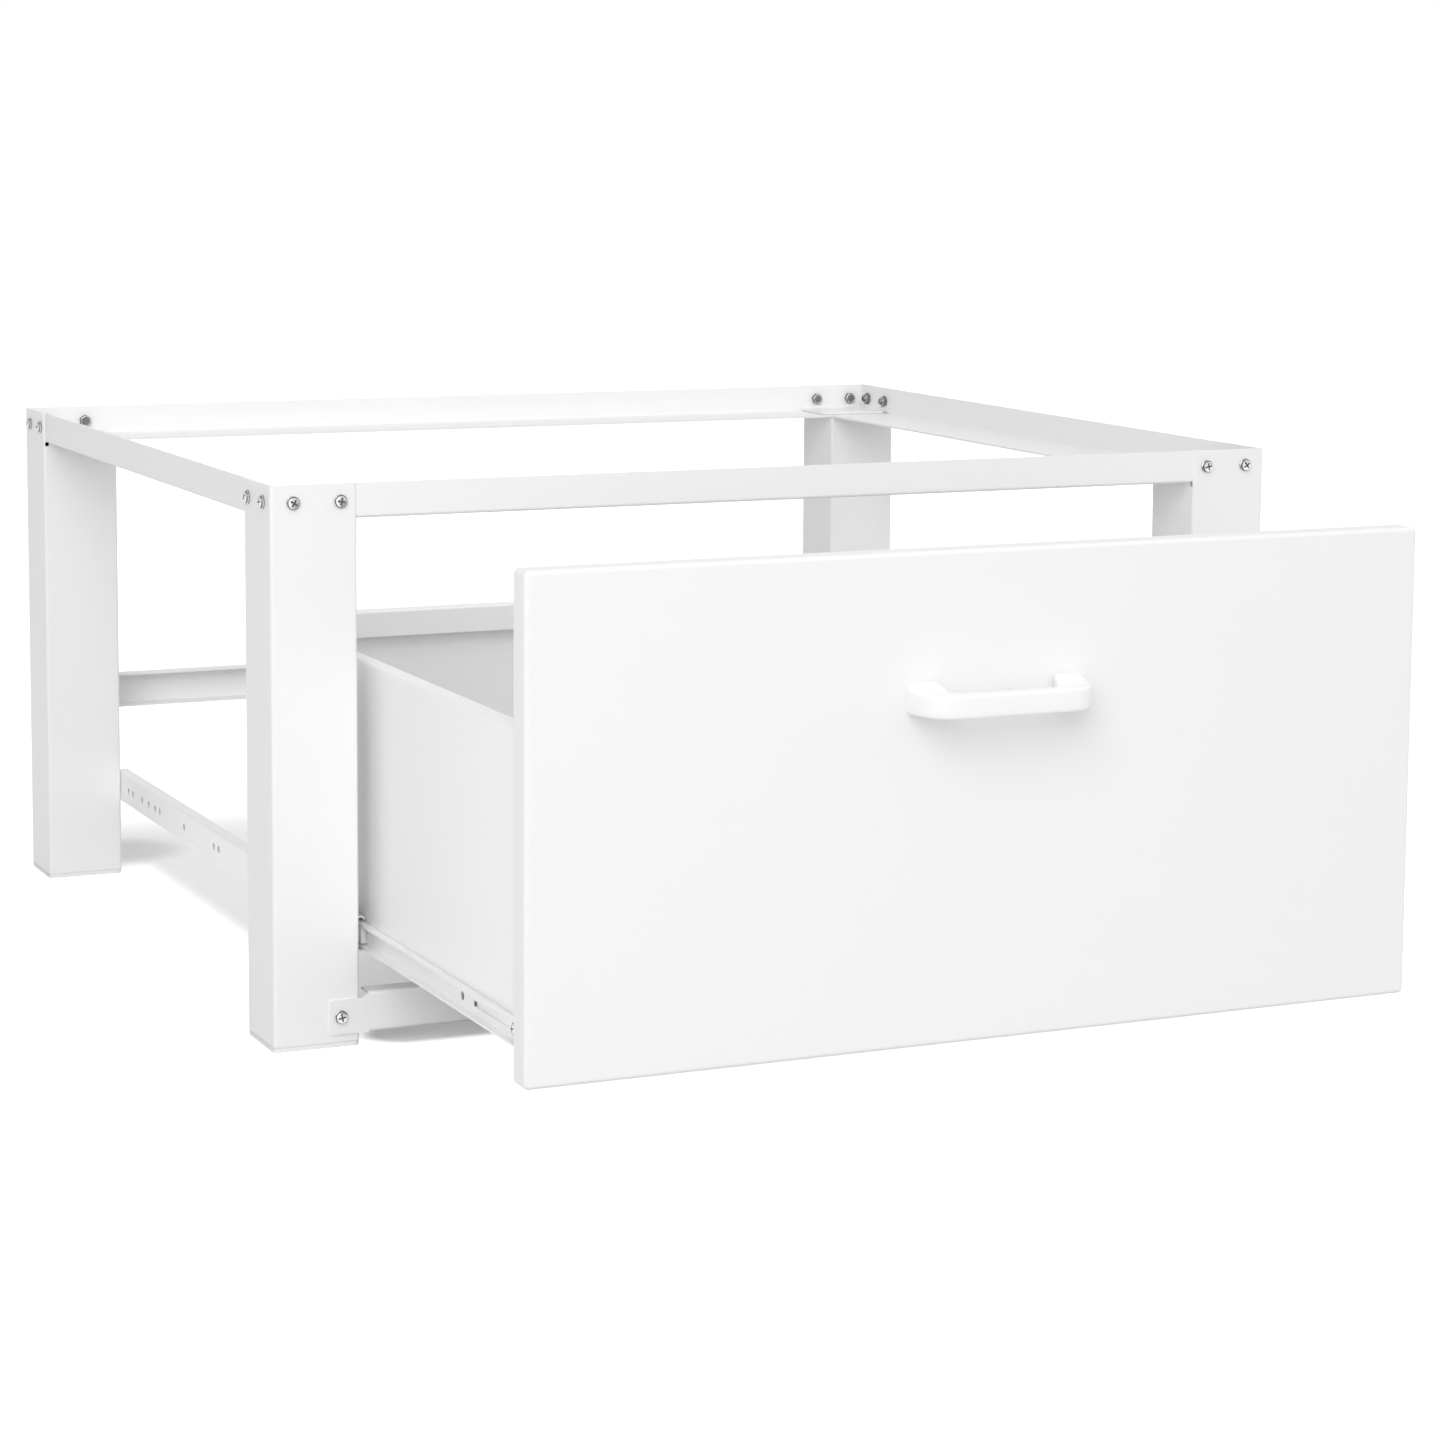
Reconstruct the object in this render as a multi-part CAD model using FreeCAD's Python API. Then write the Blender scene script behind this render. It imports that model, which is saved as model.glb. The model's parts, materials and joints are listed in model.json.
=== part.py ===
import FreeCAD, Part
import os
from math import cos, pi, sin, tan, atan2

V = FreeCAD.Vector

# Washer pedestal with a drawer. Millimetres, +Z up, +X to the right, the drawer opens towards -Y.
# Heights are measured from the floor. Depths called "deep" are measured back from the front
# plane of the legs, and at() turns them into the part's own Y.

# ---------------------------------------------------------------- overall sizes
frame_width = 630.0
frame_depth = 543.0
frame_height = 313.0

# ---------------------------------------------------------------- legs and foot caps
leg_width = 49.5
leg_depth = 48.0
leg_sheet = 1.2
leg_corner = 2.0
leg_relief = 2.5
cap_base = 3.0
cap_corner = 3.0
cap_neck = 0.6
cap_neck_inset = 0.6
cap_plug_nut_gap = 2.0
cap_plug_wall = 2.0
cap_plug_fit = 0.2

# ---------------------------------------------------------------- top rails and gussets
rail_height = 19.4
rail_sheet = 1.2
rail_bend = 0.8
rail_fit = 0.3
gusset_sheet = 1.5
gusset_overhang = 4.2
gusset_setback = 5.0
gusset_corner = 5.0
gusset_bend = 1.2
gusset_nut_gap = 0.6

# ---------------------------------------------------------------- screws, nuts and rivets
screw_radius = 2.0
screw_head_radius = 3.9
screw_head_height = 2.4
screw_recess_depth = 1.3
screw_recess_width = 0.9
screw_hole_gap = 0.25
nut_flats = 7.0
nut_height = 3.2
nut_bore_gap = 0.1
screw_end = 1.4
leg_screw_outer = 13.0
leg_screw_inner = 40.0
rivet_radius = 1.6
rivet_head_radius = 3.0
rivet_head_height = 0.9
rivet_tail = 1.2
rivet_slide_gap = 4.0

# ---------------------------------------------------------------- cross bars
bar_height = 22.6
bar_tab_height = 19.6
bar_sheet = 1.2
bar_bend = 0.8
bar_flange = 12.0
bar_tab_overlap = 17.8
bar_end_gap = 1.0
bar_shoulder = 4.0
bar_screw_inset = 11.2
front_bar_bottom = 7.2
rear_bar_bottom = 107.4

# ---------------------------------------------------------------- slides
slide_thickness = 9.6
slide_height = 20.2
slide_centre_height = 58.9
slide_rear_overlap = 11.6
slide_front_gap = 0.6
slide_sheet = 1.2
slide_bend = 0.6
slide_lip = 2.4
slide_wall_gap = 0.6
inner_height = 13.4
inner_flange = 5.4
inner_length = 436.0
inner_front_gap = 1.0
inner_taper = 38.0
inner_hole_deep = 81.0
inner_slot_start = 14.0
inner_slot_length = 50.0
inner_slot_height = 3.0
inner_screw_front = 7.0
inner_screw_mid = 280.0
inner_screw_rear = 420.0
inner_screw_end = 1.4
ball_gap = 0.3
ball_count = 6
ball_pocket_gap = 0.12
cage_length = 98.0
cage_sheet = 0.6
cage_tip_gap = 0.5
cage_end_gap = 3.0
slide_hole_radius = 2.3
slide_holes_from_rear = (30.5, 41.0, 63.8, 79.6, 95.2, 105.9, 162.2, 227.8, 238.0)
slide_screw_head_height = 1.4
slide_screw_head_radius = 3.4
slide_screw_bite = 5.6
slide_screw_front = 9.0
slide_screw_second = 23.0
slide_screw_rear = 6.0

# ---------------------------------------------------------------- drawer
rest_opening = 238.0
full_opening = 330.0
panel_thickness = 16.0
panel_side_gap = 4.6
panel_top_gap = 0.9
panel_bottom_gap = 3.2
panel_corner = 3.0
panel_front_edge = 2.5
panel_back_edge = 1.0
drawer_length = 442.0
drawer_sheet = 1.0
drawer_bend = 0.8
drawer_bottom_height = 51.5
drawer_top_height = 211.6
rim_width = 10.1
rim_drop = 16.2
rim_end_gap = 0.4
foot_flange = 14.0
front_flange = 16.0
back_flange = 12.0
flange_gap = 1.2
floor_gap = 0.4
rib_count = 3
rib_width = 26.0
rib_height = 2.4
rib_slope = 2.4
rivet_rows = 3
panel_screw_rows = 3
panel_screw_length = 12.0
panel_screw_head_height = 2.2

# ---------------------------------------------------------------- handle
handle_length = 106.5
handle_projection = 28.0
handle_bar = 10.0
handle_height = 12.6
handle_foot = 21.0
handle_lean = 5.0
handle_outer_bend = 15.0
handle_inner_bend = 7.0
handle_edge = 2.6
handle_centre_height = 215.3
handle_flare = 4.6
handle_flare_reach = 11.0
handle_flare_bend = 12.0
handle_screw_spacing = 85.5
handle_screw_bite = 12.0
handle_screw_head_height = 2.4

cut_margin = 1.0

# ---------------------------------------------------------------- derived places
half_width = frame_width / 2
rear_reach = bar_sheet + screw_head_height
front_reach = rest_opening + handle_projection
# The origin is under the middle of the whole part as it stands, with the drawer pulled out.
leg_front_y = (front_reach - frame_depth - rear_reach) / 2

leg_inner_x = half_width - leg_width
rail_bottom = frame_height - rail_height
ledge_top = rail_bottom + rail_sheet
web_inside = leg_sheet + rail_sheet
leg_screw_height = frame_height - rail_height / 2
nut_radius = nut_flats / 2 / cos(pi / 6)
bar_top_front = front_bar_bottom + bar_height
front_bar_screw_height = front_bar_bottom + bar_tab_height / 2
rear_bar_screw_height = rear_bar_bottom + bar_tab_height / 2
plug_top = front_bar_screw_height - nut_radius - cap_plug_nut_gap

slide_plane = leg_inner_x - slide_thickness
slide_front = panel_thickness + slide_front_gap
slide_rear = frame_depth - leg_depth + slide_rear_overlap
slide_length = slide_rear - slide_front
drawer_half = slide_plane
drawer_front = panel_thickness - rest_opening
drawer_rear = drawer_front + drawer_length
panel_half = leg_inner_x - panel_side_gap
panel_bottom = bar_top_front + panel_bottom_gap
panel_top = rail_bottom - panel_top_gap
floor_bottom = drawer_bottom_height + drawer_sheet
inner_front = drawer_front + inner_front_gap
outer_race = slide_height / 2 - slide_sheet
inner_race = inner_height / 2
ball_radius = (outer_race - inner_race) / 2 - ball_gap
ball_centre_offset = (outer_race + inner_race) / 2


def at(deep):
    """Part Y of a depth measured back from the front plane of the legs."""
    return leg_front_y + deep


# ---------------------------------------------------------------- shape helpers
def box(x0, x1, y0, y1, z0, z1):
    return Part.makeBox(x1 - x0, y1 - y0, z1 - z0, V(x0, y0, z0))


def rod(radius, length, start, direction):
    return Part.makeCylinder(radius, length, start, direction)


def rounded_wire(points, radii):
    """Closed wire through 3D points, each corner rounded by its radius."""
    count = len(points)
    cuts = []
    for i in range(count):
        here = points[i]
        before = (points[i - 1] - here).normalize()
        after = (points[(i + 1) % count] - here).normalize()
        if radii[i] <= 0:
            cuts.append((here, None, here))
            continue
        half = before.getAngle(after) / 2
        reach = radii[i] / tan(half)
        centre = here + (before + after).normalize() * (radii[i] / sin(half))
        middle = centre + (here - centre).normalize() * radii[i]
        cuts.append((here + before * reach, middle, here + after * reach))
    edges = []
    for i in range(count):
        start, middle, end = cuts[i]
        if middle is not None:
            edges.append(Part.Arc(start, middle, end).toShape())
        following = cuts[(i + 1) % count][0]
        if end.distanceToPoint(following) > 1e-6:
            edges.append(Part.LineSegment(end, following).toShape())
    return Part.Wire(edges)


def prism(flat_points, radii, place, along):
    """Solid from a flat outline: place() turns (u, v) into a 3D point, along is the extrusion."""
    wire = rounded_wire([place(u, v) for u, v in flat_points], radii)
    return Part.Face(wire).extrude(along)


def left_offset(path, distance):
    """The path shifted to its left by distance, with its corners kept sharp."""
    shifted = []
    last = len(path) - 1
    for i, (u, v) in enumerate(path):
        turns = []
        for a, b in ((i - 1, i), (i, i + 1)):
            if a >= 0 and b <= last:
                du, dv = path[b][0] - path[a][0], path[b][1] - path[a][1]
                turns.append(atan2(dv, du))
        heading = (turns[0] + turns[-1]) / 2
        if len(turns) == 2 and abs(turns[1] - turns[0]) > pi:
            heading += pi
        stretch = distance / abs(cos(heading - turns[0]))
        shifted.append((u - sin(heading) * stretch, v + cos(heading) * stretch))
    return shifted


def folded(path, sheet, bend, place, along):
    """A folded sheet: path is its right-hand face, bend the inside radius of each fold."""
    other = left_offset(path, sheet)
    near, far = [], []
    for i in range(len(path)):
        if i in (0, len(path) - 1):
            near.append(0)
            far.append(0)
            continue
        (ax, ay), (bx, by), (cx, cy) = path[i - 1], path[i], path[i + 1]
        left_turn = (bx - ax) * (cy - by) - (by - ay) * (cx - bx) > 0
        near.append(bend + sheet if left_turn else bend)
        far.append(bend if left_turn else bend + sheet)
    return prism(list(path) + other[::-1], near + far[::-1], place, along)


def mirror_x(shape):
    return shape.mirror(V(0, 0, 0), V(1, 0, 0))


def mirror_depth(shape):
    """Mirror front to back about the middle of the frame."""
    return shape.mirror(V(0, at(frame_depth / 2), 0), V(0, 1, 0))


def corners(shape):
    """The piece of the front left corner, copied to all four corners by name."""
    return {
        "front_left": shape,
        "front_right": mirror_x(shape),
        "rear_left": mirror_depth(shape),
        "rear_right": mirror_x(mirror_depth(shape)),
    }


def edges_where(shape, test):
    chosen = []
    for edge in shape.Edges:
        ends = [vertex.Point for vertex in edge.Vertexes]
        if len(ends) == 2 and test(ends[0], ends[1]):
            chosen.append(edge)
    return chosen


def near(a, b):
    return abs(a - b) < 1e-4


# ---------------------------------------------------------------- fasteners
def pan_screw(seat, direction, length, head_radius=screw_head_radius, head_height=screw_head_height):
    """Cross-recess screw: its domed head stands on seat, its shank runs along direction."""
    outward = direction * -1
    dome = head_height * 0.45
    head = rod(head_radius, head_height, seat, outward)
    rim = [e for e in head.Edges if e.Length > 1 and near((e.CenterOfMass - seat).dot(outward), head_height)]
    head = head.makeFillet(dome, rim)
    shank = rod(screw_radius, length, seat, direction)
    screw = head.fuse(shank)
    side = V(0, 0, 1)
    across = outward.cross(side)
    arm = head_radius * 0.62
    floor = min(screw_recess_depth, head_height * 0.6)
    for u, v in ((side, across), (across, side)):
        corner = seat + outward * (head_height - floor) - u * arm - v * (screw_recess_width / 2)
        slot = Part.Face(Part.makePolygon([
            corner,
            corner + u * (2 * arm),
            corner + u * (2 * arm) + v * screw_recess_width,
            corner + v * screw_recess_width,
            corner,
        ])).extrude(outward * head_height)
        screw = screw.cut(slot)
    return screw.removeSplitter()


def hex_nut(seat, direction):
    """Hexagon nut lying on seat and reaching along direction."""
    side = V(0, 0, 1)
    across = direction.cross(side)
    ring = [seat + side * (nut_radius * cos(k * pi / 3)) + across * (nut_radius * sin(k * pi / 3))
            for k in range(6)]
    body = Part.Face(Part.makePolygon(ring + [ring[0]])).extrude(direction * nut_height)
    cone = Part.makeCone(nut_radius + nut_height * 0.75, nut_radius * 0.86, nut_height, seat, direction)
    bore = rod(screw_radius + nut_bore_gap, nut_height, seat, direction)
    return body.common(cone).cut(bore)


def hole(shape, seat, direction, radius, depth):
    """Round hole through shape, from a little before seat."""
    return shape.cut(rod(radius, depth + 2 * cut_margin, seat - direction * cut_margin, direction))


screw_hole = screw_radius + screw_hole_gap


# ---------------------------------------------------------------- legs, caps and their screws
def leg_screw_seats():
    """Seat and inward direction of the four screws of the front left leg."""
    seats = []
    for inset in (leg_screw_outer, leg_screw_inner):
        seats.append((V(-half_width + inset, at(0), leg_screw_height), V(0, 1, 0)))
    for inset in (leg_screw_outer, leg_screw_inner):
        seats.append((V(-half_width, at(inset), leg_screw_height), V(1, 0, 0)))
    return seats


def bar_screw_place(height):
    return V(-leg_inner_x - bar_screw_inset, at(0), height)


def leg(bar_screw_height, slide_depths):
    """Front left leg: closed box section, inner faces cut down to carry the rails' ledges.

    Slide screws nearer to the leg's end of the frame than its far face get a hole in it.
    """
    left, front = -half_width, at(0)
    outline = [(0, 0), (leg_width, 0), (leg_width, leg_depth), (0, leg_depth)]

    def place(u, v):
        return V(left + u, front + v, cap_base)

    up = V(0, 0, frame_height - cap_base)
    tube = prism(outline, [leg_corner] * 4, place, up)
    hollow_outline = [(leg_sheet, leg_sheet), (leg_width - leg_sheet, leg_sheet),
                      (leg_width - leg_sheet, leg_depth - leg_sheet), (leg_sheet, leg_depth - leg_sheet)]
    tube = tube.cut(prism(hollow_outline, [leg_corner - leg_sheet] * 4, place, up))
    reach = leg_width + leg_depth
    tube = tube.cut(box(left + leg_sheet, left + reach, front + leg_sheet, front + reach,
                        rail_bottom, frame_height + cut_margin))
    relief_low = rail_bottom - leg_relief
    tube = tube.cut(box(left + leg_width - 2 * leg_sheet, left + leg_width + cut_margin,
                        front + leg_sheet, front + leg_sheet + leg_relief, relief_low, frame_height))
    tube = tube.cut(box(left + leg_sheet, left + leg_sheet + leg_relief,
                        front + leg_depth - 2 * leg_sheet, front + leg_depth + cut_margin,
                        relief_low, frame_height))
    for seat, direction in leg_screw_seats():
        tube = hole(tube, seat, direction, screw_hole, 2 * leg_sheet)
    tube = hole(tube, bar_screw_place(bar_screw_height), V(0, 1, 0), screw_hole, 2 * leg_sheet)
    for deep in slide_depths:
        if deep < leg_depth:
            seat = V(-leg_inner_x, at(deep), slide_centre_height)
            tube = hole(tube, seat, V(-1, 0, 0), screw_hole, 2 * leg_sheet)
    return tube


def foot_cap():
    """Plastic foot: a flat base, a narrower neck that the leg stands on, and a hollow plug inside it."""
    left, front = -half_width, at(0)

    def slab(inset, radius, low, high):
        outline = [(inset, inset), (leg_width - inset, inset),
                   (leg_width - inset, leg_depth - inset), (inset, leg_depth - inset)]
        return prism(outline, [radius] * 4, lambda u, v: V(left + u, front + v, low), V(0, 0, high - low))

    base = slab(0, cap_corner, 0, cap_base - cap_neck)
    base = base.fuse(slab(cap_neck_inset, cap_corner - cap_neck_inset, cap_base - cap_neck, cap_base))
    inset = leg_sheet + cap_plug_fit
    plug = slab(inset, leg_corner - leg_sheet, cap_base, plug_top)
    inset += cap_plug_wall
    well = box(left + inset, left + leg_width - inset, front + inset, front + leg_depth - inset,
               cap_base, plug_top)
    return base.fuse(plug.cut(well)).removeSplitter()


def leg_screws():
    length = leg_sheet + rail_sheet + nut_height + screw_end
    return Part.makeCompound([pan_screw(seat, direction, length) for seat, direction in leg_screw_seats()])


def leg_nuts():
    return Part.makeCompound([hex_nut(seat + direction * web_inside, direction)
                              for seat, direction in leg_screw_seats()])


# ---------------------------------------------------------------- rails and gussets
def cross_rail():
    """Front rail: upright web behind the legs' front faces, ledge turned to the inside."""
    start = -half_width + leg_sheet
    path = [(leg_depth, rail_bottom), (leg_sheet, rail_bottom), (leg_sheet, frame_height)]
    rail = folded(path[::-1], rail_sheet, rail_bend, lambda u, v: V(start, at(u), v),
                  V(frame_width - 2 * leg_sheet, 0, 0))
    for side in (-1, 1):
        for inset in (leg_screw_outer, leg_screw_inner):
            seat = V(side * (half_width - inset), at(leg_sheet), leg_screw_height)
            rail = hole(rail, seat, V(0, 1, 0), screw_hole, rail_sheet)
    return rail


def side_rail():
    """Left rail: the same section, its ledge cut back where the cross rails' ledges lie."""
    clear = web_inside + rail_fit
    start = at(clear)
    outer = -half_width + leg_sheet
    path = [(outer, frame_height), (outer, rail_bottom), (-leg_inner_x, rail_bottom)]
    rail = folded(path, rail_sheet, rail_bend, lambda u, v: V(u, start, v),
                  V(0, frame_depth - 2 * clear, 0))
    notch_top = ledge_top + rail_fit
    front_end = at(leg_depth + rail_fit)
    rear_end = at(frame_depth - leg_depth - rail_fit)
    low = rail_bottom - cut_margin
    left, right = outer - cut_margin, -leg_inner_x + cut_margin
    rail = rail.cut(box(left, right, start - cut_margin, front_end, low, notch_top))
    rail = rail.cut(box(left, right, rear_end, at(frame_depth), low, notch_top))
    for inset in (leg_screw_outer, leg_screw_inner):
        for deep in (inset, frame_depth - inset):
            seat = V(outer, at(deep), leg_screw_height)
            rail = hole(rail, seat, V(1, 0, 0), screw_hole, rail_sheet)
    return rail


def gusset():
    """Corner plate on the ledges of the front left corner, with a low lip along each web."""
    x0, y0 = -half_width + web_inside, at(web_inside)
    x1, y1 = -leg_inner_x + gusset_overhang, at(leg_depth - gusset_setback)
    lip_top = leg_screw_height - nut_radius - gusset_nut_gap
    square = [(x0, y0), (x1, y0), (x1, y1), (x0, y1)]
    plate = prism(square, [0, gusset_corner, gusset_corner, gusset_corner],
                  lambda u, v: V(u, v, ledge_top), V(0, 0, gusset_sheet))
    lip_front = box(x0 + 2 * gusset_sheet, x1 - gusset_corner, y0, y0 + gusset_sheet, ledge_top, lip_top)
    lip_side = box(x0, x0 + gusset_sheet, y0 + 2 * gusset_sheet, y1 - gusset_corner, ledge_top, lip_top)
    plate = plate.fuse(lip_front).fuse(lip_side).removeSplitter()
    low = edges_where(plate, lambda a, b: near(a.z, ledge_top) and near(b.z, ledge_top)
                      and ((near(a.x, x0) and near(b.x, x0)) or (near(a.y, y0) and near(b.y, y0))))
    plate = plate.makeFillet(gusset_bend, low)
    return plate


# ---------------------------------------------------------------- cross bars
def bar(bottom):
    """Front bar: channel whose web runs on over the legs as screw tabs."""
    reach = leg_inner_x + bar_tab_overlap
    end = leg_inner_x - bar_end_gap
    top = bottom + bar_height
    tab_top = bottom + bar_tab_height
    outline = [(-reach, bottom), (reach, bottom), (reach, tab_top), (end, tab_top),
               (end - bar_shoulder, top - bar_bend), (-end + bar_shoulder, top - bar_bend),
               (-end, tab_top), (-reach, tab_top)]
    corner = bar_sheet * 1.5
    radii = [corner, corner, corner, bar_shoulder / 2, bar_shoulder / 2,
             bar_shoulder / 2, bar_shoulder / 2, corner]
    front = at(-bar_sheet)
    web = prism(outline, radii, lambda u, v: V(u, front, v), V(0, bar_sheet, 0))
    inside = end - bar_shoulder
    path = [(bar_flange, top), (-bar_sheet, top), (-bar_sheet, bottom), (bar_flange, bottom)]
    channel = folded(path, bar_sheet, bar_bend, lambda u, v: V(-inside, at(u), v), V(2 * inside, 0, 0))
    web = web.cut(box(-inside, inside, front - cut_margin, at(cut_margin),
                      bottom - cut_margin, top + cut_margin))
    web = web.fuse(channel).removeSplitter()
    for side in (-1, 1):
        seat = bar_screw_place(bottom + bar_tab_height / 2)
        seat = V(side * seat.x, at(-bar_sheet), seat.z)
        web = hole(web, seat, V(0, 1, 0), screw_hole, bar_sheet)
    return web


def bar_screws(bottom):
    place = bar_screw_place(bottom + bar_tab_height / 2)
    seat = V(place.x, at(-bar_sheet), place.z)
    length = bar_sheet + leg_sheet + nut_height + screw_end
    screw = pan_screw(seat, V(0, 1, 0), length)
    return Part.makeCompound([screw, mirror_x(screw)])


def bar_nuts(bottom):
    place = bar_screw_place(bottom + bar_tab_height / 2)
    nut = hex_nut(V(place.x, at(leg_sheet), place.z), V(0, 1, 0))
    return Part.makeCompound([nut, mirror_x(nut)])


# ---------------------------------------------------------------- slides
def slide_screw_depths():
    """Depths of the screws that hold the outer member on the front and rear legs."""
    return [slide_front + slide_screw_front, slide_front + slide_screw_second,
            slide_rear - slide_screw_rear]


def slide_hole_depths():
    """Depths of the outer member's spare holes."""
    return [slide_rear - step for step in slide_holes_from_rear]


def slide_outer():
    """Left outer member: channel open to the drawer, its lips keep the balls in."""
    back = -leg_inner_x
    mouth = -slide_plane - slide_wall_gap
    top = slide_centre_height + slide_height / 2
    bottom = slide_centre_height - slide_height / 2
    path = [(mouth, top - slide_lip), (mouth, top), (back, top),
            (back, bottom), (mouth, bottom), (mouth, bottom + slide_lip)]
    member = folded(path, slide_sheet, slide_bend, lambda u, v: V(u, at(slide_front), v),
                    V(0, slide_length, 0))
    for deep in slide_hole_depths():
        seat = V(back, at(deep), slide_centre_height)
        member = hole(member, seat, V(1, 0, 0), slide_hole_radius, slide_sheet)
    for deep in slide_screw_depths():
        seat = V(back, at(deep), slide_centre_height)
        member = hole(member, seat, V(1, 0, 0), screw_hole, slide_sheet)
    return member


def slide_outer_screws():
    screws = []
    for deep in slide_screw_depths():
        seat = V(-leg_inner_x + slide_sheet, at(deep), slide_centre_height)
        screws.append(pan_screw(seat, V(-1, 0, 0), slide_sheet + leg_sheet + slide_screw_bite,
                                slide_screw_head_radius, slide_screw_head_height))
    return Part.makeCompound(screws)


def inner_screw_depths():
    return [inner_front + d for d in (inner_screw_front, inner_screw_mid, inner_screw_rear)]


def slide_inner():
    """Left inner member: shallow channel open outwards, its web on the drawer's side."""
    face = -slide_plane
    tip = face - inner_flange
    top = slide_centre_height + inner_height / 2
    bottom = slide_centre_height - inner_height / 2
    path = [(tip, bottom), (face, bottom), (face, top), (tip, top)]
    front = at(inner_front)
    member = folded(path, slide_sheet, slide_bend, lambda u, v: V(u, front, v), V(0, inner_length, 0))
    lean = inner_flange - slide_sheet
    wedge = [(tip - cut_margin, front - cut_margin), (tip + lean, front - cut_margin),
             (tip + lean * 0.8, front + inner_taper * 0.25), (tip, front + inner_taper),
             (tip - cut_margin, front + inner_taper)]
    member = member.cut(prism(wedge, [0] * len(wedge), lambda u, v: V(u, v, slide_centre_height),
                              V(0, 0, inner_height)))
    member = hole(member, V(face, front + inner_hole_deep, slide_centre_height), V(-1, 0, 0),
                  slide_hole_radius, slide_sheet)
    half_slot = inner_slot_height / 2
    member = member.cut(box(face - 2 * slide_sheet, face + cut_margin, front + inner_slot_start,
                            front + inner_slot_start + inner_slot_length,
                            slide_centre_height - half_slot, slide_centre_height + half_slot))
    for deep in inner_screw_depths():
        member = hole(member, V(face, at(deep), slide_centre_height), V(-1, 0, 0),
                      screw_hole, slide_sheet)
    return member


def slide_inner_screws():
    screws = []
    for deep in inner_screw_depths():
        seat = V(-slide_plane - slide_sheet, at(deep), slide_centre_height)
        screws.append(pan_screw(seat, V(1, 0, 0), slide_sheet + drawer_sheet + inner_screw_end,
                                slide_screw_head_radius, slide_screw_head_height))
    return Part.makeCompound(screws)


def cage_start():
    """The cage travels half as far as the drawer and is still inside when it is fully open."""
    return slide_front + cage_end_gap + (full_opening - rest_opening) / 2


def ball_places():
    """Ball centres of the left cage: one row above and one row below the inner member."""
    web_face = -slide_plane - inner_flange - cage_tip_gap
    x = web_face + cage_tip_gap / 2 + ball_radius + ball_pocket_gap
    pitch = cage_length / ball_count
    places = []
    for sign in (-1, 1):
        for k in range(ball_count):
            deep = cage_start() + (k + 0.5) * pitch
            places.append(V(x, at(deep), slide_centre_height + sign * ball_centre_offset))
    return places


def ball_cage():
    """Left cage: thin channel between the two members with a round pocket for each ball."""
    web_face = -slide_plane - inner_flange - cage_tip_gap
    arm = ball_radius * 2 + cage_tip_gap
    reach = ball_centre_offset + cage_sheet / 2
    top = slide_centre_height + reach
    bottom = slide_centre_height - reach
    path = [(web_face + arm, top), (web_face - cage_sheet, top),
            (web_face - cage_sheet, bottom), (web_face + arm, bottom)]
    cage = folded(path, cage_sheet, cage_sheet / 3, lambda u, v: V(u, at(cage_start()), v),
                  V(0, cage_length, 0))
    for place in ball_places():
        start = place - V(0, 0, ball_radius)
        cage = cage.cut(rod(ball_radius + ball_pocket_gap, 2 * ball_radius, start, V(0, 0, 1)))
    return cage


def cage_balls():
    return Part.makeCompound([Part.makeSphere(ball_radius, place) for place in ball_places()])


# ---------------------------------------------------------------- drawer box
def panel_screw_heights():
    low = drawer_bottom_height + foot_flange + drawer_sheet
    high = drawer_top_height - rim_drop - foot_flange
    return [low + k * (high - low) / (panel_screw_rows - 1) for k in range(panel_screw_rows)]


def panel_screw_x():
    return drawer_half - drawer_sheet - front_flange / 2


def rivet_heights():
    low = slide_centre_height + slide_height / 2 + rivet_slide_gap + rivet_head_radius
    high = drawer_top_height - rim_drop - back_flange
    return [low + k * (high - low) / (rivet_rows - 1) for k in range(rivet_rows)]


def rivet_depth():
    return drawer_rear - drawer_sheet - back_flange / 2


def drawer_side():
    """Left side: wall with a turned-in foot, a turned-in and turned-down rim and a front flange."""
    wall = -drawer_half
    top = drawer_top_height
    path = [(wall + foot_flange, drawer_bottom_height), (wall, drawer_bottom_height), (wall, top),
            (wall + rim_width, top), (wall + rim_width, top - rim_drop)]
    side = folded(path[::-1], drawer_sheet, drawer_bend, lambda u, v: V(u, at(drawer_front), v),
                  V(0, drawer_length, 0))
    tab = box(wall + drawer_sheet / 2, wall + drawer_sheet + front_flange,
              at(drawer_front), at(drawer_front + drawer_sheet),
              floor_bottom + drawer_sheet + floor_gap, top - rim_drop - flange_gap)
    side = side.fuse(tab).removeSplitter()
    for height in panel_screw_heights():
        seat = V(-panel_screw_x(), at(drawer_front), height)
        side = hole(side, seat, V(0, 1, 0), screw_hole, drawer_sheet)
    for height in rivet_heights():
        side = hole(side, V(wall, at(rivet_depth()), height), V(1, 0, 0), rivet_radius + nut_bore_gap,
                    drawer_sheet)
    for deep in inner_screw_depths():
        side = hole(side, V(wall, at(deep), slide_centre_height), V(1, 0, 0), screw_hole, drawer_sheet)
    return side


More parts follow.
